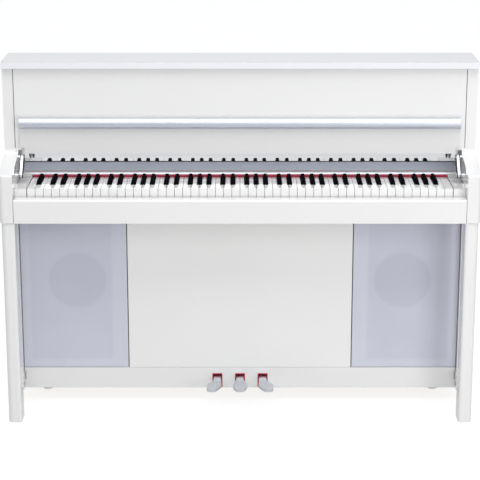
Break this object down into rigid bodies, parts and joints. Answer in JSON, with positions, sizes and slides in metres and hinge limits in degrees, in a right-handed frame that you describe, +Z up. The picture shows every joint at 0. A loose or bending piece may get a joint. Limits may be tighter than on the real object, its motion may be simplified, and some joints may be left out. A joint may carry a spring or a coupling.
{
  "type": "digital piano",
  "caption": "Compact upright digital piano on its own legs, with folding fallboard, full keyboard, speaker grilles and sprung pedals.",
  "frame": {"origin": "on the floor, under the middle of the piano's box", "axes": "+X along the keyboard to the treble end, +Y towards the back panel, away from the player, +Z up"},
  "size_m": [1.38, 0.325, 1.05],
  "materials": {
    "white_lacquer": "polished white lacquer on fibreboard",
    "white_satin": "satin white lacquer on fibreboard",
    "raw_board": "sealed fibreboard",
    "back_board": "dark hardboard",
    "grille_cloth": "fine lavender-grey speaker cloth",
    "silver_strip": "satin anodised",
    "mirror_strip": "mirror polished",
    "rail_metal": "polished",
    "chrome": "polished",
    "steel": "zinc plated",
    "black_steel": "black powder coat",
    "white_key": "polished white acrylic",
    "black_key": "polished black",
    "red_felt": "dense red felt",
    "pedal_metal": "satin nickel plate",
    "rubber": "moulded",
    "board_green": "solder mask",
    "black_plastic": "fine texture",
    "speaker_black": "pressed basket and paper cone"
  },
  "bodies": {
    "cabinet": {"lid": "white_lacquer", "side_panel_left": "white_lacquer", "side_panel_right": "white_lacquer", "upper_front_panel": "white_lacquer", "back_panel": "back_board", "soffit": "white_satin", "bottom_board": "raw_board", "keybed": "white_satin", "keyslip": "white_lacquer", "arm_left": "white_lacquer", "arm_right": "white_lacquer", "leg_left": "white_lacquer", "leg_right": "white_lacquer", "toe_bars": "white_lacquer", "cheek_blocks": "white_lacquer", "control_strip": "silver_strip", "mirror_strip": "mirror_strip", "key_felt": "red_felt", "fallboard_brackets": "chrome", "fallboard_pins": "steel", "wood_screws": "steel", "key_chassis": "black_steel", "key_rod": "steel", "lower_centre_panel": "white_satin", "grille_left": "grille_cloth", "grille_right": "grille_cloth", "speaker_baffles": "raw_board", "speakers": "speaker_black", "bottom_rail": "white_lacquer", "pedal_felts": "red_felt", "pedal_axle": "steel", "pedal_frame": "steel", "pedal_stops": "rubber", "rear_feet": "rubber", "connector_plate": "black_plastic", "main_board": "board_green", "power_supply": "steel", "headphone_box": "black_plastic"},
    "fallboard": {"fallboard_leaf": "white_lacquer", "fallboard_rail": "rail_metal"},
    "soft_pedal": {"pedal_soft": "pedal_metal"},
    "sostenuto_pedal": {"pedal_sostenuto": "pedal_metal"},
    "damper_pedal": {"pedal_damper": "pedal_metal"},
    "power_rocker": {"power_switch": "black_plastic"},
    "key_c4": {"key_c4": "white_key"},
    "key_d4": {"key_d4": "white_key"},
    "key_e4": {"key_e4": "white_key"},
    "key_f4": {"key_f4": "white_key"},
    "key_g4": {"key_g4": "white_key"},
    "key_a4": {"key_a4": "white_key"},
    "key_b4": {"key_b4": "white_key"},
    "key_c4_sharp": {"key_c4_sharp": "black_key"},
    "key_d4_sharp": {"key_d4_sharp": "black_key"},
    "key_f4_sharp": {"key_f4_sharp": "black_key"},
    "key_g4_sharp": {"key_g4_sharp": "black_key"},
    "key_a4_sharp": {"key_a4_sharp": "black_key"},
    "white_keys_bass": {"white_keys_bass": "white_key"},
    "white_keys_treble": {"white_keys_treble": "white_key"},
    "black_keys_bass": {"black_keys_bass": "black_key"},
    "black_keys_treble": {"black_keys_treble": "black_key"}
  },
  "joints": [
    {"name": "fallboard_hinge", "type": "hinge", "parent": "cabinet", "child": "fallboard", "pos_m": [0, -0.008, 0.77], "axis": [1, 0, 0], "range_deg": [0, 98]},
    {"name": "soft_pedal_hinge", "type": "hinge", "parent": "cabinet", "child": "soft_pedal", "pos_m": [-0.069, 0.08, 0.076], "axis": [1, 0, 0], "range_deg": [0, 6.5], "stiffness_Nm_per_rad": 18, "springref_deg": -6.88},
    {"name": "sostenuto_pedal_hinge", "type": "hinge", "parent": "cabinet", "child": "sostenuto_pedal", "pos_m": [0, 0.08, 0.076], "axis": [1, 0, 0], "range_deg": [0, 6.5], "stiffness_Nm_per_rad": 18, "springref_deg": -6.88},
    {"name": "damper_pedal_hinge", "type": "hinge", "parent": "cabinet", "child": "damper_pedal", "pos_m": [0.069, 0.08, 0.076], "axis": [1, 0, 0], "range_deg": [0, 6.5], "stiffness_Nm_per_rad": 18, "springref_deg": -6.88},
    {"name": "power_rocker_hinge", "type": "hinge", "parent": "cabinet", "child": "power_rocker", "pos_m": [0.462, 0.152, 0.15], "axis": [1, 0, 0], "range_deg": [0, 16]},
    {"name": "key_c4_hinge", "type": "hinge", "parent": "cabinet", "child": "key_c4", "pos_m": [0, 0.0995, 0.692], "axis": [1, 0, 0], "range_deg": [0, 2.5], "stiffness_Nm_per_rad": 2.4, "springref_deg": -11.46},
    {"name": "key_d4_hinge", "type": "hinge", "parent": "cabinet", "child": "key_d4", "pos_m": [0, 0.0995, 0.692], "axis": [1, 0, 0], "range_deg": [0, 2.5], "stiffness_Nm_per_rad": 2.4, "springref_deg": -11.46},
    {"name": "key_e4_hinge", "type": "hinge", "parent": "cabinet", "child": "key_e4", "pos_m": [0, 0.0995, 0.692], "axis": [1, 0, 0], "range_deg": [0, 2.5], "stiffness_Nm_per_rad": 2.4, "springref_deg": -11.46},
    {"name": "key_f4_hinge", "type": "hinge", "parent": "cabinet", "child": "key_f4", "pos_m": [0, 0.0995, 0.692], "axis": [1, 0, 0], "range_deg": [0, 2.5], "stiffness_Nm_per_rad": 2.4, "springref_deg": -11.46},
    {"name": "key_g4_hinge", "type": "hinge", "parent": "cabinet", "child": "key_g4", "pos_m": [0, 0.0995, 0.692], "axis": [1, 0, 0], "range_deg": [0, 2.5], "stiffness_Nm_per_rad": 2.4, "springref_deg": -11.46},
    {"name": "key_a4_hinge", "type": "hinge", "parent": "cabinet", "child": "key_a4", "pos_m": [0, 0.0995, 0.692], "axis": [1, 0, 0], "range_deg": [0, 2.5], "stiffness_Nm_per_rad": 2.4, "springref_deg": -11.46},
    {"name": "key_b4_hinge", "type": "hinge", "parent": "cabinet", "child": "key_b4", "pos_m": [0, 0.0995, 0.692], "axis": [1, 0, 0], "range_deg": [0, 2.5], "stiffness_Nm_per_rad": 2.4, "springref_deg": -11.46},
    {"name": "key_c4_sharp_hinge", "type": "hinge", "parent": "cabinet", "child": "key_c4_sharp", "pos_m": [0, 0.0995, 0.692], "axis": [1, 0, 0], "range_deg": [0, 2.5], "stiffness_Nm_per_rad": 2.4, "springref_deg": -11.46},
    {"name": "key_d4_sharp_hinge", "type": "hinge", "parent": "cabinet", "child": "key_d4_sharp", "pos_m": [0, 0.0995, 0.692], "axis": [1, 0, 0], "range_deg": [0, 2.5], "stiffness_Nm_per_rad": 2.4, "springref_deg": -11.46},
    {"name": "key_f4_sharp_hinge", "type": "hinge", "parent": "cabinet", "child": "key_f4_sharp", "pos_m": [0, 0.0995, 0.692], "axis": [1, 0, 0], "range_deg": [0, 2.5], "stiffness_Nm_per_rad": 2.4, "springref_deg": -11.46},
    {"name": "key_g4_sharp_hinge", "type": "hinge", "parent": "cabinet", "child": "key_g4_sharp", "pos_m": [0, 0.0995, 0.692], "axis": [1, 0, 0], "range_deg": [0, 2.5], "stiffness_Nm_per_rad": 2.4, "springref_deg": -11.46},
    {"name": "key_a4_sharp_hinge", "type": "hinge", "parent": "cabinet", "child": "key_a4_sharp", "pos_m": [0, 0.0995, 0.692], "axis": [1, 0, 0], "range_deg": [0, 2.5], "stiffness_Nm_per_rad": 2.4, "springref_deg": -11.46},
    {"name": "white_keys_bass_hinge", "type": "hinge", "parent": "cabinet", "child": "white_keys_bass", "pos_m": [0, 0.0995, 0.692], "axis": [1, 0, 0], "range_deg": [0, 2.5], "stiffness_Nm_per_rad": 55.2, "springref_deg": -11.46},
    {"name": "white_keys_treble_hinge", "type": "hinge", "parent": "cabinet", "child": "white_keys_treble", "pos_m": [0, 0.0995, 0.692], "axis": [1, 0, 0], "range_deg": [0, 2.5], "stiffness_Nm_per_rad": 52.8, "springref_deg": -11.46},
    {"name": "black_keys_bass_hinge", "type": "hinge", "parent": "cabinet", "child": "black_keys_bass", "pos_m": [0, 0.0995, 0.692], "axis": [1, 0, 0], "range_deg": [0, 2.5], "stiffness_Nm_per_rad": 38.4, "springref_deg": -11.46},
    {"name": "black_keys_treble_hinge", "type": "hinge", "parent": "cabinet", "child": "black_keys_treble", "pos_m": [0, 0.0995, 0.692], "axis": [1, 0, 0], "range_deg": [0, 2.5], "stiffness_Nm_per_rad": 36, "springref_deg": -11.46}
  ]
}
